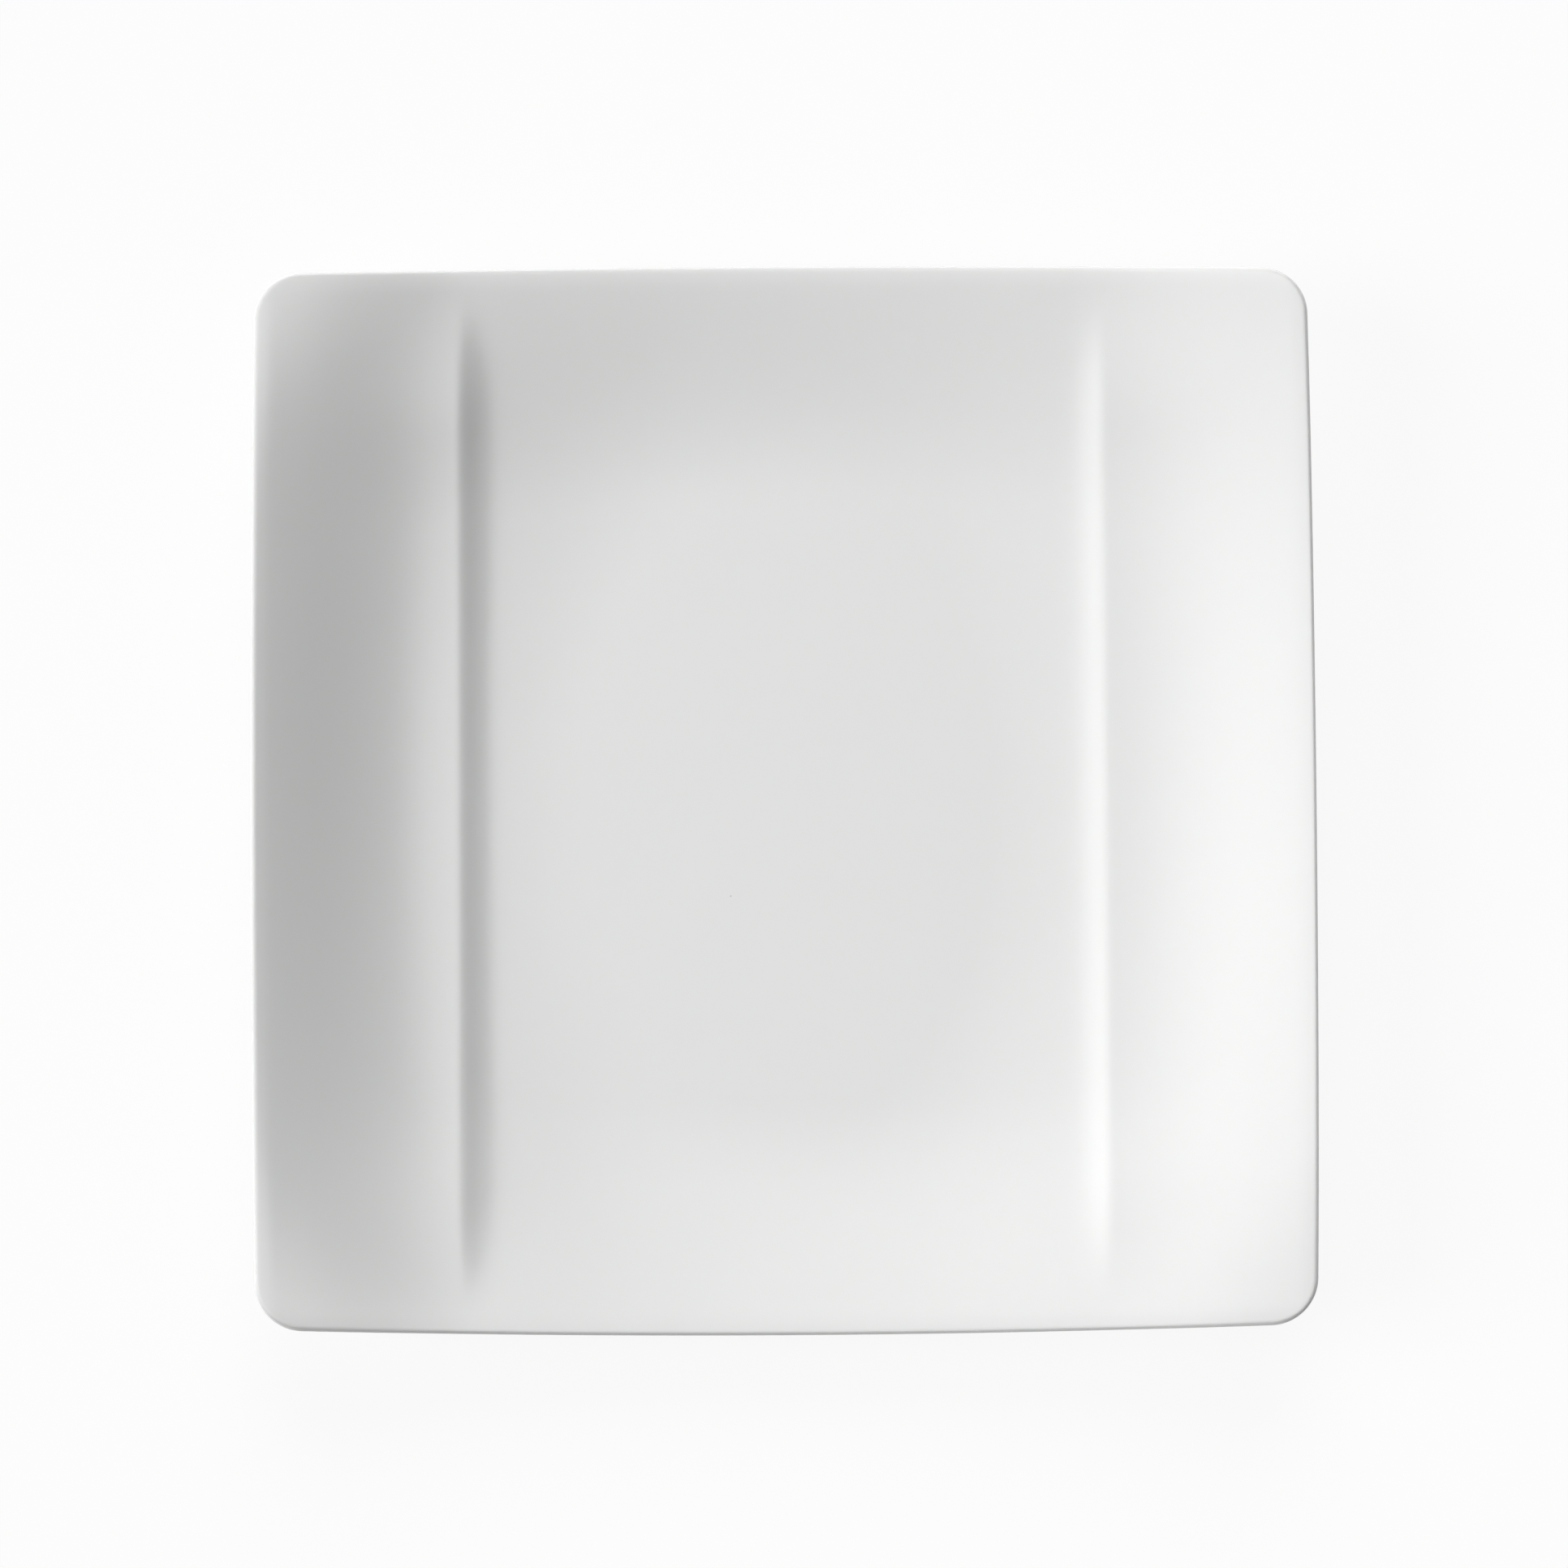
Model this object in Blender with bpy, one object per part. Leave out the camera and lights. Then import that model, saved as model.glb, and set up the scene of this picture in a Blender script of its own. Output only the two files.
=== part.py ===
"""Square porcelain breakfast plate: a fired body and the two coats of glaze on it.

Metres, +Z up. The plate stands on its foot ring at z = 0, with its middle over the origin.
The two pleats in its face run along Y, beside the -X and the +X side. Those sides fold up
high, and the two ends, at -Y and +Y, rise less than half as far.
"""

import math

import bmesh
import bpy
from mathutils import Vector

# Overall form
HALF_SIDE = 0.11525       # middle of the plate to the middle of a side
SIDE_BOW = 0.00105        # the middle of a side stands out this far past the corners
END_BOW = 0.0024          # the same for an end
CORNER_RADIUS = 0.010     # outline, in plan
FLOOR_HEIGHT = 0.0065     # top of the well floor above the table
WALL = 0.0042             # glazed thickness
LIP_REACH = 0.0021        # the lip reaches this far past the edge of the face
LIP_SQUARENESS = 5.0      # 2 would be a half round; more has a flatter top and a tighter edge
LIP_FULLNESS = 1.012      # the corners of the lip's flats stand out by this factor to enclose its curve

# The face: a shallow oval well, two sides that fold up from it, and two lower ends
DEPTH = 0.0150            # well floor to the rim in the middle of a side
RIM_SWEEP = 0.0018        # the rim of a side climbs this much towards its ends
END_RISE = 0.31           # share of the depth that the ends would rise if they never flattened
CORNER_DROP = 0.0013      # the very corners bend down again this far
CORNER_DROP_FROM = 0.186  # where |x| + |y| passes this
EDGE_ROLL = 0.0001        # the last of the face bends down this far
EDGE_ROLL_WIDTH = 0.0024  # over this width
WELL_RADIUS = 0.046       # the floor is flat inside an oval of this half width
WELL_EDGE = 0.130         # half width of the oval where its wall would be level again
WELL_RISE = 0.0068        # height of the wall of the well
WELL_FLARE = 0.35         # its wall is this share higher towards the ends
WELL_STRETCH = 0.65       # width of the oval over its length
SIDE_FOLD = (0.0697, 0.1050)   # |x| where a side starts to fold up, and where its slope is straight
SIDE_FOLD_BOW = (0.007, 0.004)  # how far those lines come in towards the corners
END_FOLD = (0.0660, 0.1250)    # |y| where an end starts to rise, and where it would be level again
END_FOLD_BOW = (0.010, -0.015)  # how far those lines come in, or go out, towards the corners
BOW_AT = 0.100            # distance from the middle line at which bows, sweep and flare are measured

# The pleats: a shoulder that steps up beside the well and dies away into the side
PLEAT_FOOT = 0.0600       # |x| of the foot of the step
PLEAT_CREST = 0.0706      # |x| of its crest
PLEAT_RISE = 0.0016       # height of the step
PLEAT_SOFTNESS = 1.6      # above 1, the step is gentle at its foot and steep below its crest
PLEAT_TAIL = 0.038        # the shoulder is level with the side again this far past the crest
PLEAT_END = 0.111         # half length of a pleat
PLEAT_FADE = 0.031        # each end runs out over this length

# The foot ring and the glaze
FOOT_RADIUS = 0.065       # middle of the standing face
FOOT_WIDTH = 0.0044       # where the glaze stops
FOOT_FLARE = 0.0016       # each wall of the foot spreads this far towards the plate
FOOT_BEVEL = 0.0004       # on the bare edges of the foot
GLAZE_LINE = 0.0008       # the glaze stops at this height
GLAZE = 0.0003            # thickness of a coat
GAP = 0.0003              # clearance kept between a coat and the body under it

# Fineness
LIP_STEPS = 6
CORNER_STEPS = 3
PLEAT_STEPS = 3
WELL_LINES = (0.022, 0.042, 0.052)          # |x| of grid lines inside the pleats
SIDE_LINES = (0.0745, 0.081, 0.089, 0.097)  # |x| of grid lines outside them
ALONG_LINES = (0.020, 0.040, 0.058, 0.072, 0.083, 0.0924, 0.0985)  # |y| of grid lines
UNDERSIDE_STEPS = 4       # rings of the underside, from the lip to the foot
SLOPE_STEP = 0.0002       # distance over which a slope is measured
SHARP_ANGLE = math.radians(50.0)

CORNER_HALF = HALF_SIDE - SIDE_BOW
FACE_EDGE = CORNER_HALF - LIP_REACH
EDGE_CORNER_RADIUS = CORNER_RADIUS - LIP_REACH
CORNER_START = FACE_EDGE - EDGE_CORNER_RADIUS
BASE_HEIGHT = FLOOR_HEIGHT - WALL

# Finishes
WHITE_GLAZE = (0.83, 0.84, 0.83, 1.0)
GLAZE_ROUGHNESS = 0.12
BARE_PORCELAIN = (0.80, 0.79, 0.75, 1.0)
BARE_ROUGHNESS = 0.55


def clamped(value, low, high):
    return min(max(value, low), high)


def eased(t):
    """Smooth step from 0 to 1."""
    t = clamped(t, 0.0, 1.0)
    return t * t * (3.0 - 2.0 * t)


def eased_rise(t):
    """Area under the smooth step: level before 0, and a straight slope of 1 after 1."""
    c = clamped(t, 0.0, 1.0)
    return c ** 3 - 0.5 * c ** 4 + max(t - 1.0, 0.0)


def fold_lines(along, lines, bows):
    """Where a fold starts and where its curve ends, at a distance along it from its middle."""
    bow = (along / BOW_AT) ** 2
    return lines[0] - bows[0] * bow, lines[1] - bows[1] * bow


def side_fold(x, y):
    """Share of the rim's height that a side has reached: 0 on the floor, 1 at the face's edge."""
    start, stop = fold_lines(y, SIDE_FOLD, SIDE_FOLD_BOW)
    ease = stop - start
    return eased_rise((abs(x) - start) / ease) / eased_rise((FACE_EDGE - start) / ease)


def end_fold(x, y):
    """Share of its rise that an end has reached. It flattens again towards the rim."""
    start, stop = fold_lines(x, END_FOLD, END_FOLD_BOW)
    return eased((abs(y) - start) / (stop - start))


def edge_roll(distance):
    """How far the face bends down close to its edge."""
    return EDGE_ROLL * max(1.0 - (FACE_EDGE - distance) / EDGE_ROLL_WIDTH, 0.0) ** 2


def corner_drop(x, y):
    """How far a corner bends down."""
    share = (abs(x) + abs(y) - CORNER_DROP_FROM) / (2.0 * FACE_EDGE - CORNER_DROP_FROM)
    return CORNER_DROP * max(share, 0.0) ** 2


def dish_height(x, y):
    """Height of the face without its pleats."""
    bow = (y / BOW_AT) ** 2
    depth = DEPTH + RIM_SWEEP * bow
    wall = eased((math.hypot(x, WELL_STRETCH * y) - WELL_RADIUS) / (WELL_EDGE - WELL_RADIUS))
    well = WELL_RISE * (1.0 + WELL_FLARE * bow) * wall
    below_rim = (depth - well) * (1.0 - side_fold(x, y)) * (1.0 - END_RISE * end_fold(x, y))
    drop = corner_drop(x, y) + edge_roll(abs(x)) + edge_roll(abs(y))
    return FLOOR_HEIGHT + depth - below_rim - drop


def pleat_height(x, y):
    """Height that a pleat adds: a step up to a straight crest, a long tail, and a fade at both ends."""
    fade = eased((PLEAT_END - abs(y)) / PLEAT_FADE)
    climb = clamped((abs(x) - PLEAT_FOOT) / (PLEAT_CREST - PLEAT_FOOT), 0.0, 1.0)
    past = clamped((abs(x) - PLEAT_CREST) / PLEAT_TAIL, 0.0, 1.0)
    return PLEAT_RISE * fade * eased(climb ** PLEAT_SOFTNESS) * (1.0 - past) ** 2 * (1.0 + past)


def corner_shares(x, y):
    """How far a point of the square sheet lies into a corner's rounding, along x and along y.

    On the edge of the sheet this is the direction in which the edge faces.
    """
    u = max(abs(x) - CORNER_START, 0.0) / EDGE_CORNER_RADIUS
    v = max(abs(y) - CORNER_START, 0.0) / EDGE_CORNER_RADIUS
    return (math.copysign(u * math.sqrt(1.0 - v * v / 2.0), x),
            math.copysign(v * math.sqrt(1.0 - u * u / 2.0), y))


def rounded(x, y):
    """Place of a point of the square sheet once the sheet's corners are rounded."""
    u, v = corner_shares(x, y)
    return (clamped(x, -CORNER_START, CORNER_START) + EDGE_CORNER_RADIUS * u,
            clamped(y, -CORNER_START, CORNER_START) + EDGE_CORNER_RADIUS * v)


def bowed(x, y, z):
    """Point in space for a point of the rounded sheet, with the sides and the ends bowed out."""
    side = 1.0 + SIDE_BOW / CORNER_HALF * (1.0 - (y / CORNER_HALF) ** 2)
    end = 1.0 + END_BOW / CORNER_HALF * (1.0 - (x / CORNER_HALF) ** 2)
    return Vector((x * side, y * end, z))


def dish_slopes(x, y):
    slope_x = (dish_height(x + SLOPE_STEP, y) - dish_height(x - SLOPE_STEP, y)) / (2.0 * SLOPE_STEP)
    slope_y = (dish_height(x, y + SLOPE_STEP) - dish_height(x, y - SLOPE_STEP)) / (2.0 * SLOPE_STEP)
    return slope_x, slope_y


def face_point(x, y):
    x, y = rounded(x, y)
    return bowed(x, y, dish_height(x, y) + pleat_height(x, y))


def underside_point(x, y):
    """Point under the face, one wall thickness away, square to the slope there."""
    x, y = rounded(x, y)
    slope_x, slope_y = dish_slopes(x, y)
    return bowed(x, y, dish_height(x, y) - WALL * math.sqrt(1.0 + slope_x ** 2 + slope_y ** 2))


def stations(inner):
    """Grid lines over the whole width, from the distances given for one half and the corner's own."""
    turns = [math.pi / 4.0 * step / CORNER_STEPS for step in range(CORNER_STEPS + 1)]
    corner = [CORNER_START + EDGE_CORNER_RADIUS * math.sqrt(2.0) * math.sin(turn) for turn in turns]
    half = [*inner, *corner]
    return [-distance for distance in reversed(half)] + [0.0] + half


def face_stations():
    """Grid lines of the face: even ones across the well and the folds, close ones over each pleat."""
    pleat_width = PLEAT_CREST - PLEAT_FOOT
    pleat = [PLEAT_FOOT + pleat_width * step / PLEAT_STEPS for step in range(PLEAT_STEPS + 1)]
    return stations([*WELL_LINES, *pleat, *SIDE_LINES]), stations(ALONG_LINES)


def join_loops(bm, first, second):
    """A strip of faces from one closed loop to the next. Loops run anticlockwise, seen from above."""
    for k in range(len(first)):
        after = (k + 1) % len(first)
        bm.faces.new((first[k], second[k], second[after], first[after]))


def add_loop(bm, last, points):
    """A new loop of vertices, joined to the last one."""
    loop = [bm.verts.new(point) for point in points]
    join_loops(bm, last, loop)
    return loop


def ring_points(angles, radius, height):
    return [Vector((radius * math.cos(a), radius * math.sin(a), height)) for a in angles]


def add_face(bm):
    """The face as a grid. Returns its border, as a loop of vertices and their sheet coordinates."""
    across, along = face_stations()
    grid = [[bm.verts.new(face_point(x, y)) for y in along] for x in across]
    for i in range(len(across) - 1):
        for j in range(len(along) - 1):
            bm.faces.new((grid[i][j], grid[i + 1][j], grid[i + 1][j + 1], grid[i][j + 1]))
    last_i = len(across) - 1
    last_j = len(along) - 1
    places = [(i, 0) for i in range(last_i)]
    places += [(last_i, j) for j in range(last_j)]
    places += [(i, last_j) for i in range(last_i, 0, -1)]
    places += [(0, j) for j in range(last_j, 0, -1)]
    border = [grid[i][j] for i, j in places]
    sheet = [(across[i], along[j]) for i, j in places]
    return border, sheet


def lip_section(turn):
    """The lip's rounded section at a turn from its top to its back: shares outward and up."""
    outward = math.sin(turn)
    up = math.cos(turn)
    power_sum = abs(outward) ** LIP_SQUARENESS + abs(up) ** LIP_SQUARENESS
    reach = LIP_FULLNESS * power_sum ** (-1.0 / LIP_SQUARENESS)
    return outward * reach, up * reach


def lip_frame(x, y):
    """Middle of the lip beside a border point, with its reach outward and its reach up.

    It goes on along the slope of the face, and its end is upright.
    """
    u, v = corner_shares(x, y)
    slope_x, slope_y = dish_slopes(*rounded(x, y))
    outward = Vector((u, v, u * slope_x + v * slope_y)) * LIP_REACH
    top = face_point(x, y)
    back = underside_point(x, y)
    return (top + back) / 2.0, outward, (top - back) / 2.0


def spoke_angle(x, y):
    """Direction in which a border point's spoke meets the foot ring.

    Even steps along a side are even steps round the ring.
    """
    if abs(x) >= abs(y):
        return (0.0 if x > 0.0 else math.pi) + math.pi / 4.0 * y / x
    return math.copysign(math.pi / 2.0, y) - math.pi / 4.0 * x / y


def foot_wall_rings(angles, radius, flare):
    """Two rings of a foot wall: in the middle of its hollow flare, and at the glaze line."""
    half_turn = math.pi / 4.0
    height = GLAZE_LINE + (BASE_HEIGHT - GLAZE_LINE) * math.cos(half_turn)
    middle = ring_points(angles, radius + flare * (1.0 - math.sin(half_turn)), height)
    return middle, ring_points(angles, radius, GLAZE_LINE)


def add_outside(bm):
    """The skin from the face over the lip and the underside to the glaze line of the foot.

    Returns its last loop and the directions of its spokes.
    """
    loop, sheet = add_face(bm)
    frames = [lip_frame(x, y) for x, y in sheet]
    for step in range(1, LIP_STEPS + 1):
        ahead, above = lip_section(math.pi * step / LIP_STEPS)
        loop = add_loop(bm, loop, [
            middle + outward * ahead + up * above for middle, outward, up in frames
        ])
    angles = [spoke_angle(x, y) for x, y in sheet]
    wall_radius = FOOT_RADIUS + FOOT_WIDTH / 2.0
    foot_top = wall_radius + FOOT_FLARE
    for step in range(1, UNDERSIDE_STEPS + 1):
        share = step / UNDERSIDE_STEPS
        loop = add_loop(bm, loop, [
            underside_point(
                x + (foot_top * math.cos(angle) - x) * share,
                y + (foot_top * math.sin(angle) - y) * share,
            )
            for (x, y), angle in zip(sheet, angles)
        ])
    for points in foot_wall_rings(angles, wall_radius, FOOT_FLARE):
        loop = add_loop(bm, loop, points)
    return loop, angles


def add_base(bm, angles):
    """The skin inside the foot ring, from its glaze line to the middle of the base.

    Returns its first loop.
    """
    wall_radius = FOOT_RADIUS - FOOT_WIDTH / 2.0
    middle, glaze_end = foot_wall_rings(angles, wall_radius, -FOOT_FLARE)
    first = [bm.verts.new(point) for point in glaze_end]
    loop = add_loop(bm, first, middle)
    loop = add_loop(bm, loop, ring_points(angles, wall_radius - FOOT_FLARE, BASE_HEIGHT))
    bm.faces.new(list(reversed(loop)))
    return first


def sink(bm, distance):
    """Move the whole skin inwards, square to itself."""
    bm.normal_update()
    moves = [vertex.normal * (vertex.calc_shell_factor() * distance) for vertex in bm.verts]
    for vertex, move in zip(bm.verts, moves):
        vertex.co -= move


def drawn_in(loop, inset, height):
    """Points of a loop moved towards the middle by a distance, at a height."""
    points = []
    for vertex in loop:
        radius = math.hypot(vertex.co.x, vertex.co.y)
        scale = (radius - inset) / radius
        points.append(Vector((vertex.co.x * scale, vertex.co.y * scale, height)))
    return points


def add_bare_foot(bm, outer, inner):
    """The bare end of the foot: two bevelled edges and the flat ring that the plate stands on."""
    loop = add_loop(bm, outer, drawn_in(outer, 0.0, FOOT_BEVEL))
    loop = add_loop(bm, loop, drawn_in(outer, FOOT_BEVEL, 0.0))
    loop = add_loop(bm, loop, drawn_in(inner, -FOOT_BEVEL, 0.0))
    loop = add_loop(bm, loop, drawn_in(inner, 0.0, FOOT_BEVEL))
    join_loops(bm, loop, inner)


def material(name, colour, roughness):
    made = bpy.data.materials.new(name)
    made.use_nodes = True
    shader = made.node_tree.nodes["Principled BSDF"]
    shader.inputs["Base Color"].default_value = colour
    shader.inputs["Roughness"].default_value = roughness
    shader.inputs["Metallic"].default_value = 0.0
    return made


def add_piece(name, bm, finish, parent):
    """A named object from a skin, with every face split into triangles the same way in each coat."""
    bmesh.ops.triangulate(bm, faces=bm.faces[:], quad_method="FIXED")
    mesh = bpy.data.meshes.new(name)
    bm.to_mesh(mesh)
    bm.free()
    mesh.materials.append(finish)
    mesh.shade_smooth()
    mesh.set_sharp_from_angle(angle=SHARP_ANGLE)
    piece = bpy.data.objects.new(name, mesh)
    piece.parent = parent
    bpy.context.scene.collection.objects.link(piece)
    return piece


def thicken(piece):
    """Turn a skin into a coat of glaze that lies inside it."""
    coat = piece.modifiers.new("Coat", "SOLIDIFY")
    coat.thickness = GLAZE
    coat.offset = -1.0
    coat.use_even_offset = True


def make_plate():
    plate = bpy.data.objects.new("breakfast_plate", None)
    bpy.context.scene.collection.objects.link(plate)
    glaze = material("white_glaze", WHITE_GLAZE, GLAZE_ROUGHNESS)
    bare = material("bare_porcelain", BARE_PORCELAIN, BARE_ROUGHNESS)

    outside = bmesh.new()
    angles = add_outside(outside)[1]
    thicken(add_piece("outer_glaze", outside, glaze, plate))

    base = bmesh.new()
    add_base(base, angles)
    thicken(add_piece("base_glaze", base, glaze, plate))

    body = bmesh.new()
    outer, _ = add_outside(body)
    inner = add_base(body, angles)
    sink(body, GLAZE + GAP)
    add_bare_foot(body, outer, inner)
    add_piece("porcelain_body", body, bare, plate)


for leftover in list(bpy.data.objects):
    bpy.data.objects.remove(leftover)
make_plate()
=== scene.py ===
"""Looks of the square breakfast plate: its fine surfaces, its glaze, and a plain white studio."""
import math

import bpy
import numpy as np
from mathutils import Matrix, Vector


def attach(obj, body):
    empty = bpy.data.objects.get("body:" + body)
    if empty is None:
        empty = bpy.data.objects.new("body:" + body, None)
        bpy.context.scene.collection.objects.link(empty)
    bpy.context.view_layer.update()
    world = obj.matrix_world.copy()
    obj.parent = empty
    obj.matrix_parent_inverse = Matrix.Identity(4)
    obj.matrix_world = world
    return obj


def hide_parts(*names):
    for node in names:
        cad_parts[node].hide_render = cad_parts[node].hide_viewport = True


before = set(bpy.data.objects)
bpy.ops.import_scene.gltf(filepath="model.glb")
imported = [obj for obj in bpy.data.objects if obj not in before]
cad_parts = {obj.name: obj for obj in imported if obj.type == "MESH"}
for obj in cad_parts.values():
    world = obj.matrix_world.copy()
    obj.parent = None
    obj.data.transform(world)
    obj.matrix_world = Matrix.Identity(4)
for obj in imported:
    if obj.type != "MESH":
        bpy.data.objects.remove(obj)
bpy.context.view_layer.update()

BODY = "root"

# The plate, in metres: outline, wall and lip
HALF_SIDE = 0.11525       # middle of the plate to the middle of a side
SIDE_BOW = 0.00105        # the middle of a side stands out this far past the corners
END_BOW = 0.0024          # the same for an end
CORNER_RADIUS = 0.010     # outline, in plan
FLOOR_HEIGHT = 0.0065     # top of the well floor above the table
WALL = 0.0042             # glazed thickness
LIP_REACH = 0.0021        # the lip reaches this far past the edge of the face
LIP_SQUARENESS = 5.0      # 2 would be a half round; more has a flatter top and a tighter edge

# The face: a shallow oval well, two sides that fold up from it, and two lower ends
DEPTH = 0.0150            # well floor to the rim in the middle of a side
RIM_SWEEP = 0.0018        # the rim of a side climbs this much towards its ends
END_RISE = 0.31           # an end rises by this share of the depth that the well leaves
CORNER_DROP = 0.0013      # the very corners bend down again this far
CORNER_DROP_FROM = 0.186  # where |x| + |y| passes this
EDGE_ROLL = 0.0001        # the last of the face bends down this far
EDGE_ROLL_WIDTH = 0.0024  # over this width
WELL_RADIUS = 0.046       # the floor is flat inside an oval of this half width
WELL_EDGE = 0.130         # half width of the oval where its wall would be level again
WELL_RISE = 0.0068        # height of the wall of the well
WELL_FLARE = 0.35         # its wall is this share higher towards the ends
WELL_STRETCH = 0.65       # width of the oval over its length
SIDE_FOLD = (0.0697, 0.1050)    # |x| where a side starts to fold up, and where its slope is straight
SIDE_FOLD_BOW = (0.007, 0.004)  # how far those lines come in towards the corners
END_FOLD = (0.0660, 0.1250)     # |y| where an end starts to rise, and where it would be level again
END_FOLD_BOW = (0.010, -0.015)  # how far those lines come in, or go out, towards the corners
BOW_AT = 0.100            # distance from the middle line at which bows, sweep and flare are measured

# The pleats: a shoulder that steps up beside the well and dies away into the side
PLEAT_FOOT = 0.0562       # |x| of the foot of the step
PLEAT_CREST = 0.0703      # |x| of its crest
PLEAT_RISE = 0.0016       # height of the step
PLEAT_SOFTNESS = 2.8      # above 1, the step is gentle at its foot and steep below its crest
PLEAT_TAIL = 0.038        # the shoulder is level with the side again this far past the crest
PLEAT_END = 0.111         # half length of a pleat
PLEAT_FADE = 0.031        # each end runs out over this length

# The foot ring, and the coats of glaze that end on it
FOOT_RADIUS = 0.065       # middle of the standing face
FOOT_WIDTH = 0.0044       # where the glaze stops
FOOT_FLARE = 0.0016       # each wall of the foot spreads this far towards the plate
FOOT_ROUND = 0.0004       # radius of the bare edges of the foot
GLAZE_LINE = 0.0008       # the glaze stops at this height
GLAZE = 0.0005            # thickness of a coat
SEAM = 0.00005            # clearance between a coat and the body under it

# How finely the surfaces are divided: numbers of steps, then distances
INNER_STEPS = 23          # from the middle of the face to the dense stretch
PLEAT_STEPS = 22          # in the dense stretch
OUTER_STEPS = 15          # from there to where the corner starts to round
CORNER_STEPS = 12         # from there to the edge of the face
LIP_STEPS = 18            # round the lip, from the face to the underside
UNDERSIDE_STEPS = 20      # from the lip to the foot
FILLET_STEPS = 8          # down a wall of the foot
BEAD_STEPS = 6            # round the end of a coat, and round a bare edge of the foot
BASE_STEPS = 24           # from the foot to the middle of the base
SLOPE_STEP = 0.0002       # distance over which a slope is measured
PLEAT_MARGIN = 0.003      # the dense stretch goes this far past the foot and the crest of a pleat

# Worked out from these
CORNER_HALF = HALF_SIDE - SIDE_BOW
FACE_EDGE = CORNER_HALF - LIP_REACH
EDGE_CORNER_RADIUS = CORNER_RADIUS - LIP_REACH
CORNER_START = FACE_EDGE - EDGE_CORNER_RADIUS
DENSE_ACROSS = (PLEAT_FOOT - PLEAT_MARGIN, PLEAT_CREST + PLEAT_MARGIN)
DENSE_ALONG = (PLEAT_END - PLEAT_FADE, PLEAT_END - PLEAT_FADE / 3.0)  # the fade, but for its last third
UP = np.array((0.0, 0.0, 1.0))

# The glaze: colours, shares, and the sizes of its marks in metres
COOL_WHITE = (0.801, 0.801, 0.798, 1.0)
WARM_WHITE = (0.811, 0.807, 0.798, 1.0)
TINT_PATCH = 0.040
SPECK_COLOUR = (0.30, 0.28, 0.25, 1.0)
SPECK_SPACING = 0.020
SPECK_RADII = (0.006, 0.013)      # its full tone and its end, as shares of the spacing
SPECK_TONE = 0.45
GLOSS_PATCH = 0.018
GLAZE_ROUGHNESS = (0.11, 0.17)
WAVE_LENGTH = 0.022
WAVE_DEPTH = 0.00005
PEEL_LENGTH = 0.0035
PEEL_DEPTH = 0.000006
PORCELAIN_IOR = 1.5
GLOW_SHARE = 0.2                  # of the light goes under the surface
GLOW_RADIUS = (1.0, 0.9, 0.75)    # and spreads this far for red, green and blue
GLOW_DEPTH = 0.0012               # times this length

# The bare foot, likewise
BARE_DARK = (0.74, 0.72, 0.67, 1.0)
BARE_PALE = (0.80, 0.785, 0.745, 1.0)
BARE_PATCH = 0.012
BARE_ROUGHNESS = (0.58, 0.70)
RUB_COLOUR = (0.50, 0.49, 0.47, 1.0)
RUB_PATCH = 0.004
RUB_NOISE = (0.58, 0.75)          # the rubbing begins and is full at these levels of noise
RUB_TONE = 0.35
GRAIN_SIZE = 0.0004
GRAIN_DEPTH = 0.00004
NOISE_SPAN = (0.3, 0.7)           # most of the noise lies in this stretch

# The photograph's frame
PHOTO_PIXELS = 1932               # width and height
PLATE_PIXELS = 1314.4             # from side to side
PLATE_MIDDLE_PIXELS = (967.3, 981.0)
CAMERA_DISTANCE = 1.1             # in metres, to the height of the rim
CAMERA_TILT = math.radians(2.9)   # towards the near side
CAMERA_ROLL = math.radians(-0.35)
SENSOR = 36.0                     # in millimetres

# Light, as brightness: an even sky makes a white floor as bright as itself
WHITE = (1.0, 1.0, 1.0, 1.0)
SKY_LEVEL = 0.085
HORIZON_LEVEL = 0.4               # added to the sky at the horizon
HORIZON_NARROWNESS = 3.0          # the power by which that falls with height
LAMPS = (
    # name, azimuth, elevation and width in degrees, brightness of a white floor under it
    ("left_softbox", 179.0, 27.5, 36.0, 0.38),
    ("back_softbox", 90.0, 29.5, 36.0, 0.35),
)
BACKGROUND_WHITE = 0.975
# The gloss mirrors a white backdrop, a dim studio above it, and a bright softbox overhead that leans
# to the left. The backdrop's edges are heights, the Z of a direction, and the softbox's are angles.
BACKDROP_FROM = 0.50
BACKDROP_FULL = 0.10
STUDIO_DIM = 0.05
SOFTBOX_LEVEL = 2.44
SOFTBOX_LEAN = math.radians(20.0)
SOFTBOX_FADE = math.radians(44.0)
SOFTBOX_FULL = math.radians(22.0)
FLOOR_SHADOW_SHARE = 0.09         # how much of the floor's light can be shaded
FLOOR_COLOUR = (0.80, 0.80, 0.80, 1.0)
FLOOR_HALF = 4.0


def eased(share):
    """From 0 to 1 over a share of 0 to 1, level at both ends."""
    share = np.clip(share, 0.0, 1.0)
    return share * share * (3.0 - 2.0 * share)


def eased_rise(share):
    """Rise of a slope that eases in from level over a share of 0 to 1 and then runs straight on."""
    bend = np.clip(share, 0.0, 1.0)
    return bend ** 3 - 0.5 * bend ** 4 + np.maximum(share - 1.0, 0.0)


def fold_lines(along, lines, bows):
    """Where a fold starts to rise and where its bend ends, at a place along it."""
    bow = (along / BOW_AT) ** 2
    return lines[0] - bows[0] * bow, lines[1] - bows[1] * bow


def side_fold(x, y):
    """Share of the full height that a side reaches: a bend, then straight on to 1 at the rim."""
    start, stop = fold_lines(np.abs(y), SIDE_FOLD, SIDE_FOLD_BOW)
    ease = stop - start
    return eased_rise((np.abs(x) - start) / ease) / eased_rise((FACE_EDGE - start) / ease)


def end_fold(x, y):
    """Share of its rise that an end reaches: an easy curve up that flattens again towards the rim."""
    start, stop = fold_lines(np.abs(x), END_FOLD, END_FOLD_BOW)
    return eased((np.abs(y) - start) / (stop - start))


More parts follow.
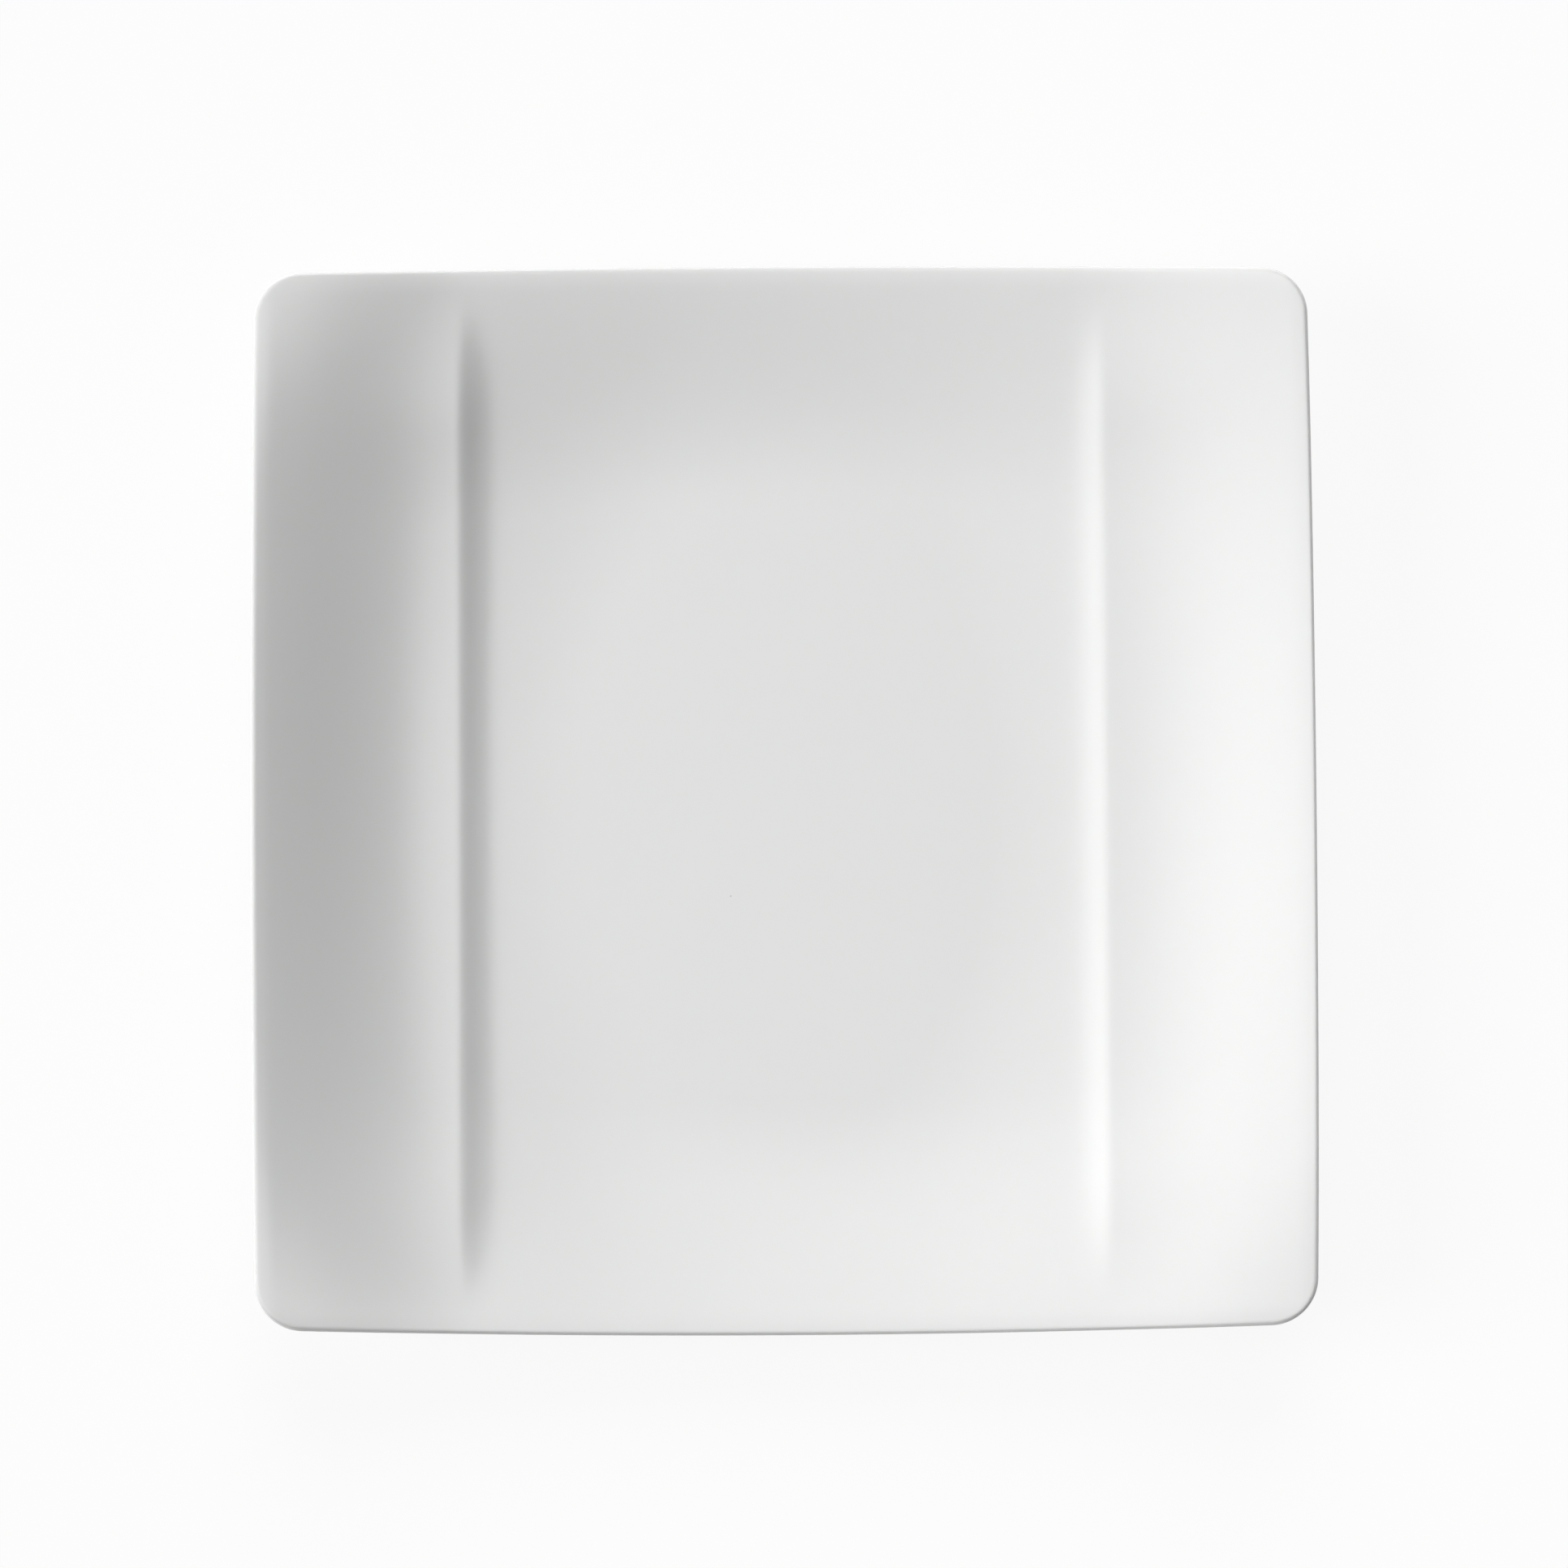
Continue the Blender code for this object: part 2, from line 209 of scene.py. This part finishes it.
def edge_roll(distance):
    """How far the face bends down close to its edge."""
    return EDGE_ROLL * np.maximum(1.0 - (FACE_EDGE - distance) / EDGE_ROLL_WIDTH, 0.0) ** 2


def dish_height(x, y):
    """Height of the face without its pleats."""
    side = side_fold(x, y)
    end = end_fold(x, y)
    reach = np.hypot(x, WELL_STRETCH * y)
    bow = (y / BOW_AT) ** 2
    flare = 1.0 + WELL_FLARE * bow
    well = WELL_RISE * flare * eased((reach - WELL_RADIUS) / (WELL_EDGE - WELL_RADIUS))
    depth = DEPTH + RIM_SWEEP * bow
    tip = np.abs(x) + np.abs(y) - CORNER_DROP_FROM
    drop = CORNER_DROP * (np.maximum(tip, 0.0) / (2.0 * FACE_EDGE - CORNER_DROP_FROM)) ** 2
    drop = drop + edge_roll(np.abs(x)) + edge_roll(np.abs(y))
    return FLOOR_HEIGHT + depth - (depth - well) * (1.0 - side) * (1.0 - END_RISE * end) - drop


def pleat_height(x, y):
    """A step up to a straight crest, with a long tail outwards, that fades to a point at both ends."""
    fade = eased((PLEAT_END - np.abs(y)) / PLEAT_FADE)
    climb = (np.abs(x) - PLEAT_FOOT) / (PLEAT_CREST - PLEAT_FOOT)
    step = eased(np.clip(climb, 0.0, 1.0) ** PLEAT_SOFTNESS)
    past = np.clip((np.abs(x) - PLEAT_CREST) / PLEAT_TAIL, 0.0, 1.0)
    tail = (1.0 - past) ** 2 * (1.0 + past)
    return PLEAT_RISE * fade * step * tail


def corner_shares(x, y):
    """How far into a corner's rounding a point of the flat sheet lies, along x and along y."""
    u = np.maximum(np.abs(x) - CORNER_START, 0.0) / EDGE_CORNER_RADIUS
    v = np.maximum(np.abs(y) - CORNER_START, 0.0) / EDGE_CORNER_RADIUS
    return u * np.sqrt(1.0 - v * v / 2.0), v * np.sqrt(1.0 - u * u / 2.0)


def rounded(x, y):
    """Points of a square sheet moved so that its corners are round."""
    u, v = corner_shares(x, y)
    round_x = np.sign(x) * (np.minimum(np.abs(x), CORNER_START) + EDGE_CORNER_RADIUS * u)
    round_y = np.sign(y) * (np.minimum(np.abs(y), CORNER_START) + EDGE_CORNER_RADIUS * v)
    return round_x, round_y


def bowed(x, y, z):
    """Points in space for points of the rounded sheet: sides and ends bowed out, heights given."""
    side = 1.0 + SIDE_BOW / CORNER_HALF * (1.0 - (y / CORNER_HALF) ** 2)
    end = 1.0 + END_BOW / CORNER_HALF * (1.0 - (x / CORNER_HALF) ** 2)
    return np.stack([x * side, y * end, z], axis=-1)


def dish_slopes(x, y):
    """Slopes of the face without its pleats, along x and along y."""
    step = SLOPE_STEP
    slope_x = (dish_height(x + step, y) - dish_height(x - step, y)) / (2.0 * step)
    slope_y = (dish_height(x, y + step) - dish_height(x, y - step)) / (2.0 * step)
    return slope_x, slope_y


def face_points(x, y):
    """Points of the face for places on the flat sheet."""
    x, y = rounded(x, y)
    return bowed(x, y, dish_height(x, y) + pleat_height(x, y))


def underside_points(x, y):
    """The back of the wall, which follows the dish but not the pleats."""
    x, y = rounded(x, y)
    slope_x, slope_y = dish_slopes(x, y)
    return bowed(x, y, dish_height(x, y) - WALL * np.sqrt(1.0 + slope_x ** 2 + slope_y ** 2))


def half_stations(dense_from, dense_to):
    """Places from the middle of the sheet to its edge, dense over a stretch and round the corner."""
    inner = np.linspace(0.0, dense_from, INNER_STEPS, endpoint=False)
    dense = np.linspace(dense_from, dense_to, PLEAT_STEPS, endpoint=False)
    outer = np.linspace(dense_to, CORNER_START, OUTER_STEPS, endpoint=False)
    turns = np.linspace(0.0, math.pi / 4.0, CORNER_STEPS + 1)
    corner = CORNER_START + EDGE_CORNER_RADIUS * math.sqrt(2.0) * np.sin(turns)
    corner[-1] = FACE_EDGE
    return np.concatenate([inner, dense, outer, corner])


def stations(dense_from, dense_to):
    """Places from edge to edge of the sheet."""
    half = half_stations(dense_from, dense_to)
    return np.concatenate([-half[:0:-1], half])


class Skin:
    """A surface that is gathered loop by loop."""

    def __init__(self):
        self.blocks = []
        self.faces = []
        self.count = 0

    def add(self, points):
        """Take in points and return their numbers."""
        self.blocks.append(points.reshape(-1, 3))
        numbers = np.arange(self.count, self.count + len(self.blocks[-1]))
        self.count += len(numbers)
        return numbers

    def add_faces(self, *corners):
        """Add faces, given the numbers of all first corners, all second ones and so on."""
        self.faces.extend(np.stack([corner.ravel() for corner in corners], axis=-1).tolist())

    def join(self, first, second):
        """Quads between two closed loops."""
        self.add_faces(first, second, np.roll(second, -1), np.roll(first, -1))

    def loop(self, before, points):
        """Add a closed loop and join it to the one before."""
        after = self.add(points)
        self.join(before, after)
        return after

    def points(self):
        """All points so far, in the order of their numbers."""
        return np.concatenate(self.blocks)

    def mesh(self, name):
        """A smooth mesh of this skin."""
        mesh = bpy.data.meshes.new(name)
        mesh.from_pydata(self.points().tolist(), [], self.faces)
        mesh.shade_smooth()
        return mesh

    def sunk(self, distance):
        """This skin moved inwards, square to itself."""
        mesh = self.mesh("sunk")
        normals = np.empty(3 * self.count, dtype=np.float32)
        mesh.vertex_normals.foreach_get("vector", normals)
        bpy.data.meshes.remove(mesh)
        return self.points() - normals.reshape(-1, 3) * distance


def border(grid):
    """The numbers round the edge of a grid, anticlockwise from above."""
    return np.concatenate([grid[:-1, 0], grid[-1, :-1], grid[:0:-1, -1], grid[0, :0:-1]])


def add_face(skin):
    """The whole face of the plate. Returns its edge loop and that loop's places on the flat sheet."""
    across = stations(*DENSE_ACROSS)
    along = stations(*DENSE_ALONG)
    x, y = np.meshgrid(across, along, indexing="ij")
    grid = skin.add(face_points(x, y)).reshape(x.shape)
    skin.add_faces(grid[:-1, :-1], grid[1:, :-1], grid[1:, 1:], grid[:-1, 1:])
    return border(grid), border(x), border(y)


def lip_section(turn):
    """Shares along the face and square to it of the lip's rounded section, from its top to its back."""
    ahead = math.sin(turn)
    across = math.cos(turn)
    reach = (abs(ahead) ** LIP_SQUARENESS + abs(across) ** LIP_SQUARENESS) ** (-1.0 / LIP_SQUARENESS)
    return ahead * reach, across * reach


def add_lip(skin, loop, x, y):
    """The rounded lip, which goes on along the slope of the face and has an upright end."""
    u, v = corner_shares(x, y)
    away_x = np.sign(x) * u
    away_y = np.sign(y) * v
    slope_x, slope_y = dish_slopes(*rounded(x, y))
    outward = np.stack([away_x, away_y, away_x * slope_x + away_y * slope_y], axis=-1) * LIP_REACH
    top = face_points(x, y)
    back = underside_points(x, y)
    middle = (top + back) / 2.0
    up = (top - back) / 2.0
    for turn in np.linspace(0.0, math.pi, LIP_STEPS + 1)[1:]:
        ahead, across = lip_section(turn)
        loop = skin.loop(loop, middle + up * across + outward * ahead)
    return loop


def spoke_angles(x, y):
    """Directions in which the edge's points look to the foot ring: even steps of a side stay even."""
    on_side = np.abs(x) >= np.abs(y)
    side = np.where(x > 0.0, 0.0, math.pi) + math.pi / 4.0 * y / np.where(on_side, x, 1.0)
    end = np.sign(y) * math.pi / 2.0 - math.pi / 4.0 * x / np.where(on_side, 1.0, y)
    return np.where(on_side, side, end)


def ring(angles, radius, height):
    """Points in the given directions from the middle, at one height or at a height for each."""
    heights = np.zeros_like(angles) + height
    return np.stack([radius * np.cos(angles), radius * np.sin(angles), heights], axis=-1)


def fillet_rings(angles, wall_radius, flare, top):
    """Rings of the hollow fillet between the foot's wall and the surface above it, from the top down."""
    end = GLAZE_LINE + GLAZE / 2.0
    for turn in np.linspace(0.0, math.pi / 2.0, FILLET_STEPS + 1):
        radius = wall_radius + flare * (1.0 - math.sin(turn))
        height = end + (top - end) * math.cos(turn)
        yield ring(angles, radius, height)


def add_underside(skin, loop, x, y):
    """From the lip inwards to the foot ring and down its wall. Returns the last loop and its angles."""
    angles = spoke_angles(x, y)
    wall_radius = FOOT_RADIUS + FOOT_WIDTH / 2.0
    foot_top = wall_radius + FOOT_FLARE
    for share in np.linspace(0.0, 1.0, UNDERSIDE_STEPS + 1)[1:]:
        sheet_x = x + (foot_top * np.cos(angles) - x) * share
        sheet_y = y + (foot_top * np.sin(angles) - y) * share
        points = underside_points(sheet_x, sheet_y)
        loop = skin.loop(loop, points)
    for points in list(fillet_rings(angles, wall_radius, FOOT_FLARE, points[:, 2]))[1:]:
        loop = skin.loop(loop, points)
    return loop, angles


def add_base(skin, angles):
    """The shallow hollow inside the foot ring. Returns its loop at the glaze line."""
    wall_radius = FOOT_RADIUS - FOOT_WIDTH / 2.0
    top = FLOOR_HEIGHT - WALL
    rings = list(fillet_rings(angles, wall_radius, -FOOT_FLARE, top))[::-1]
    first = loop = skin.add(rings[0])
    for points in rings[1:]:
        loop = skin.loop(loop, points)
    for share in np.linspace(1.0, 0.0, BASE_STEPS + 1)[1:-1]:
        loop = skin.loop(loop, ring(angles, (wall_radius - FOOT_FLARE) * share, top))
    middle = skin.add(np.array((0.0, 0.0, top)))
    skin.add_faces(np.roll(loop, -1), loop, np.full_like(loop, middle[0]))
    return first


def coat(skin, edge):
    """A closed coat of glaze from its outer skin: a sunk copy inside it, and a round bead at its edge.

    The edge runs anticlockwise as seen from above where the skin ends in it, and clockwise where it
    starts.
    """
    closed = Skin()
    outside = skin.points()
    inside = skin.sunk(GLAZE)
    closed.add(outside)
    inner = closed.add(inside)
    sunk_faces = [[inner[corner] for corner in reversed(face)] for face in skin.faces]
    closed.faces = skin.faces + sunk_faces
    middle = (outside[edge] + inside[edge]) / 2.0
    reach = outside[edge] - middle
    loop = edge
    for turn in np.linspace(0.0, math.pi, BEAD_STEPS + 1)[1:-1]:
        loop = closed.loop(loop, middle + reach * math.cos(turn) - UP * GLAZE / 2.0 * math.sin(turn))
    closed.join(loop, inner[edge])
    return closed


def drawn_in(points, inset, height):
    """A loop moved towards the middle by a distance, at a height."""
    radius = np.hypot(points[:, 0], points[:, 1])
    flat = points[:, :2] * ((radius - inset) / radius)[:, None]
    return np.column_stack([flat, np.full(len(points), height)])


def feed(tree, socket, value):
    """Set an input to a constant value, or link it to an output."""
    if isinstance(value, bpy.types.NodeSocket):
        tree.links.new(value, socket)
    else:
        socket.default_value = value


def put(tree, kind, inputs=None, **settings):
    """Add a node, give its settings, and set or link its inputs by name or number."""
    made = tree.nodes.new(kind)
    for name, value in settings.items():
        setattr(made, name, value)
    for name, value in (inputs or {}).items():
        feed(tree, made.inputs[name], value)
    return made


def new_material(name):
    """A material with no nodes yet, and its node tree."""
    material = bpy.data.materials.new(name)
    material.use_nodes = True
    material.node_tree.nodes.clear()
    return material, material.node_tree


def noise(tree, place, wavelength, detail=2.0):
    """Cloudy noise from 0 to 1 with patches of about the given size."""
    inputs = {"Vector": place, "Scale": 1.0 / wavelength, "Detail": detail}
    return put(tree, "ShaderNodeTexNoise", inputs).outputs["Fac"]


def spread(tree, value, span, target, way="LINEAR"):
    """A value from one span moved to another, and kept in it."""
    inputs = {
        "Value": value, "From Min": span[0], "From Max": span[1],
        "To Min": target[0], "To Max": target[1],
    }
    return put(tree, "ShaderNodeMapRange", inputs, interpolation_type=way).outputs["Result"]


def calculated(tree, operation, *values):
    """The result of a calculation with numbers or sockets."""
    return put(tree, "ShaderNodeMath", dict(enumerate(values)), operation=operation).outputs[0]


def mixed(tree, share, first, second):
    """A colour between two, by share."""
    made = put(tree, "ShaderNodeMix", data_type="RGBA")
    sockets = {socket.identifier: socket for socket in made.inputs}
    for name, value in (("Factor_Float", share), ("A_Color", first), ("B_Color", second)):
        feed(tree, sockets[name], value)
    return [socket for socket in made.outputs if socket.identifier == "Result_Color"][0]


def bump(tree, height, depth, before=None):
    """Bump of a height from 0 to 1 that is depth metres deep, over an earlier bump if there is one."""
    inputs = {"Height": height, "Distance": depth, "Strength": 1.0}
    if before is not None:
        inputs["Normal"] = before
    return put(tree, "ShaderNodeBump", inputs).outputs["Normal"]


def glaze_material():
    """Clear glossy glaze over white porcelain: faint clouds of tint, few specks, a slight orange peel."""
    material, tree = new_material("glazed_white_porcelain")
    place = put(tree, "ShaderNodeTexCoord").outputs["Object"]
    white = mixed(tree, noise(tree, place, TINT_PATCH), COOL_WHITE, WARM_WHITE)
    cells = put(tree, "ShaderNodeTexVoronoi", {"Vector": place, "Scale": 1.0 / SPECK_SPACING})
    speck = spread(tree, cells.outputs["Distance"], SPECK_RADII, (SPECK_TONE, 0.0))
    colour = mixed(tree, speck, white, SPECK_COLOUR)
    gloss = spread(tree, noise(tree, place, GLOSS_PATCH), NOISE_SPAN, GLAZE_ROUGHNESS)
    waves = bump(tree, noise(tree, place, WAVE_LENGTH, detail=1.0), WAVE_DEPTH)
    peel = bump(tree, noise(tree, place, PEEL_LENGTH, detail=1.0), PEEL_DEPTH, waves)
    shader = put(tree, "ShaderNodeBsdfPrincipled", {
        "Base Color": colour, "Roughness": gloss, "Normal": peel, "IOR": PORCELAIN_IOR,
        "Subsurface Weight": GLOW_SHARE, "Subsurface Radius": GLOW_RADIUS, "Subsurface Scale": GLOW_DEPTH,
    })
    put(tree, "ShaderNodeOutputMaterial", {"Surface": shader.outputs["BSDF"]})
    return material


def bare_material():
    """Unglazed fired porcelain of the foot: warm white, matt, finely sanded, with faint marks of use."""
    material, tree = new_material("bare_white_porcelain")
    place = put(tree, "ShaderNodeTexCoord").outputs["Object"]
    clouds = noise(tree, place, BARE_PATCH, detail=3.0)
    body = mixed(tree, clouds, BARE_DARK, BARE_PALE)
    rub = spread(tree, noise(tree, place, RUB_PATCH, detail=4.0), RUB_NOISE, (0.0, RUB_TONE))
    colour = mixed(tree, rub, body, RUB_COLOUR)
    grain = bump(tree, noise(tree, place, GRAIN_SIZE), GRAIN_DEPTH)
    rough = spread(tree, clouds, NOISE_SPAN, BARE_ROUGHNESS)
    shader = put(tree, "ShaderNodeBsdfPrincipled", {
        "Base Color": colour, "Roughness": rough, "Normal": grain, "IOR": PORCELAIN_IOR,
    })
    put(tree, "ShaderNodeOutputMaterial", {"Surface": shader.outputs["BSDF"]})
    return material


def add_piece(name, skin, material, node):
    """A fine piece that stands for a node of the frame."""
    mesh = skin.mesh(name)
    mesh.materials.append(material)
    piece = bpy.data.objects.new(name, mesh)
    bpy.context.scene.collection.objects.link(piece)
    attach(piece, BODY)
    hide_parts(node)


def body_skin(outer, outer_edge, base, base_edge):
    """The body under both coats, joined round the bare foot, whose edges are rounded."""
    body = Skin()
    outside = body.add(outer.sunk(GLAZE + SEAM))
    inside = body.add(base.sunk(GLAZE + SEAM))
    body.faces = outer.faces + [[inside[corner] for corner in face] for face in base.faces]
    foot_outside = body.points()[outside[outer_edge]]
    foot_inside = body.points()[inside[base_edge]]
    loop = outside[outer_edge]
    turns = np.linspace(0.0, math.pi / 2.0, BEAD_STEPS + 1)
    # Down the outer edge, which draws in, and up the inner one, which draws out
    for wall, way, wall_turns in ((foot_outside, 1.0, turns), (foot_inside, -1.0, turns[::-1])):
        for turn in wall_turns:
            inset = way * FOOT_ROUND * (1.0 - math.cos(turn))
            height = FOOT_ROUND * (1.0 - math.sin(turn))
            loop = body.loop(loop, drawn_in(wall, inset, height))
    body.join(loop, inside[base_edge])
    return body


def make_plate():
    """The two coats of glaze, and the body that they cover down to the bare foot."""
    outer = Skin()
    edge, x, y = add_face(outer)
    loop = add_lip(outer, edge, x, y)
    outer_edge, angles = add_underside(outer, loop, x, y)
    base = Skin()
    base_edge = add_base(base, angles)
    body = body_skin(outer, outer_edge, base, base_edge)

    glaze = glaze_material()
    bare = bare_material()
    add_piece("outer_glaze_coat", coat(outer, outer_edge), glaze, "outer_glaze")
    add_piece("base_glaze_coat", coat(base, base_edge[::-1]), glaze, "base_glaze")
    add_piece("porcelain_foot_and_body", body, bare, "porcelain_body")


def seen_white(tree):
    """1 for rays that look at the background, straight, mirrored or through glass."""
    rays = put(tree, "ShaderNodeLightPath").outputs
    bent = calculated(tree, "MAXIMUM", rays["Is Glossy Ray"], rays["Is Transmission Ray"])
    return calculated(tree, "MAXIMUM", rays["Is Camera Ray"], bent)


def mix_shaders(tree, share, first, second):
    """A shader between two, by share."""
    return put(tree, "ShaderNodeMixShader", {0: share, 1: first, 2: second}).outputs[0]


def mirrored_level(tree, direction, height):
    """How bright the surroundings are in the gloss, by their direction."""
    middle = (-math.sin(SOFTBOX_LEAN), 0.0, math.cos(SOFTBOX_LEAN))
    near = put(tree, "ShaderNodeVectorMath", {0: direction, 1: middle}, operation="DOT_PRODUCT")
    rim = (math.cos(SOFTBOX_FADE), math.cos(SOFTBOX_FULL))
    softbox = spread(tree, near.outputs["Value"], rim, (STUDIO_DIM, SOFTBOX_LEVEL), "SMOOTHSTEP")
    edge = (BACKDROP_FULL, BACKDROP_FROM)
    backdrop = spread(tree, height, edge, (BACKGROUND_WHITE, STUDIO_DIM), "SMOOTHSTEP")
    return calculated(tree, "MAXIMUM", softbox, backdrop)


def background(tree, strength):
    """White light of the world, at a level or at levels from a node."""
    return put(tree, "ShaderNodeBackground", {"Color": WHITE, "Strength": strength}).outputs["Background"]


def make_world():
    """A dim sky with a brighter horizon; in the gloss, the studio; and plain white behind the plate."""
    world = bpy.data.worlds.new("studio")
    bpy.context.scene.world = world
    world.use_nodes = True
    tree = world.node_tree
    tree.nodes.clear()
    direction = put(tree, "ShaderNodeTexCoord").outputs["Generated"]
    height = put(tree, "ShaderNodeSeparateXYZ", {"Vector": direction}).outputs["Z"]
    low = put(tree, "ShaderNodeMath", {0: 1.0, 1: height}, operation="SUBTRACT", use_clamp=True)
    narrow = calculated(tree, "POWER", low.outputs[0], HORIZON_NARROWNESS)
    light = background(tree, calculated(tree, "MULTIPLY_ADD", narrow, HORIZON_LEVEL, SKY_LEVEL))
    mirrored = background(tree, mirrored_level(tree, direction, height))
    straight = put(tree, "ShaderNodeLightPath").outputs["Is Camera Ray"]
    seen = mix_shaders(tree, straight, mirrored, background(tree, BACKGROUND_WHITE))
    surface = mix_shaders(tree, seen_white(tree), light, seen)
    put(tree, "ShaderNodeOutputWorld", {"Surface": surface})


def make_floor():
    """White floor: it lights the plate from below as a pale table does, and shows a faint shadow."""
    corners = [(-FLOOR_HALF, -FLOOR_HALF, 0.0), (FLOOR_HALF, -FLOOR_HALF, 0.0),
               (FLOOR_HALF, FLOOR_HALF, 0.0), (-FLOOR_HALF, FLOOR_HALF, 0.0)]
    mesh = bpy.data.meshes.new("floor")
    mesh.from_pydata(corners, [], [(0, 1, 2, 3)])
    material, tree = new_material("white_floor")
    pale = put(tree, "ShaderNodeBsdfDiffuse", {"Color": FLOOR_COLOUR})
    share = FLOOR_SHADOW_SHARE
    faint = put(tree, "ShaderNodeBsdfDiffuse", {"Color": (share, share, share, 1.0)})
    # The horizon's light on a level floor, from the integral of its fall with height
    horizon = HORIZON_LEVEL * 2.0 / ((HORIZON_NARROWNESS + 1.0) * (HORIZON_NARROWNESS + 2.0))
    lamps = sum(level for *_, level in LAMPS)
    light = SKY_LEVEL + horizon + lamps
    glow = put(tree, "ShaderNodeEmission", {"Strength": BACKGROUND_WHITE - share * light})
    both = put(tree, "ShaderNodeAddShader", {0: faint.outputs[0], 1: glow.outputs[0]})
    surface = mix_shaders(tree, seen_white(tree), pale.outputs[0], both.outputs[0])
    put(tree, "ShaderNodeOutputMaterial", {"Surface": surface})
    mesh.materials.append(material)
    floor = bpy.data.objects.new("floor", mesh)
    bpy.context.scene.collection.objects.link(floor)


def make_lamps():
    """Two distant soft lamps, one from the left of the picture and one from its top."""
    for name, azimuth, elevation, width, level in LAMPS:
        lamp = bpy.data.lights.new(name, "SUN")
        lamp.angle = math.radians(width)
        lamp.energy = level * math.pi / math.sin(math.radians(elevation))
        light = bpy.data.objects.new(name, lamp)
        light.rotation_euler = (0.0, math.radians(90.0 - elevation), math.radians(azimuth))
        light.visible_glossy = False
        bpy.context.scene.collection.objects.link(light)


def make_camera():
    """From nearly straight above, leaning a little to the near side, as the photograph was taken."""
    pixel = 2.0 * HALF_SIDE / PLATE_PIXELS
    lens = bpy.data.cameras.new("camera")
    lens.sensor_width = SENSOR
    lens.lens = SENSOR * CAMERA_DISTANCE / (PHOTO_PIXELS * pixel)
    camera = bpy.data.objects.new("camera", lens)
    aim_x = (PHOTO_PIXELS / 2.0 - PLATE_MIDDLE_PIXELS[0]) * pixel
    aim_y = (PLATE_MIDDLE_PIXELS[1] - PHOTO_PIXELS / 2.0) * pixel
    aim = Vector((aim_x, aim_y, FLOOR_HEIGHT + DEPTH))
    lean = Vector((0.0, -math.sin(CAMERA_TILT), math.cos(CAMERA_TILT)))
    camera.location = aim + lean * CAMERA_DISTANCE
    camera.rotation_euler = (CAMERA_TILT, 0.0, CAMERA_ROLL)
    bpy.context.scene.collection.objects.link(camera)
    bpy.context.scene.camera = camera


make_plate()
make_world()
make_floor()
make_lamps()
make_camera()
bpy.context.scene.view_settings.view_transform = "Standard"
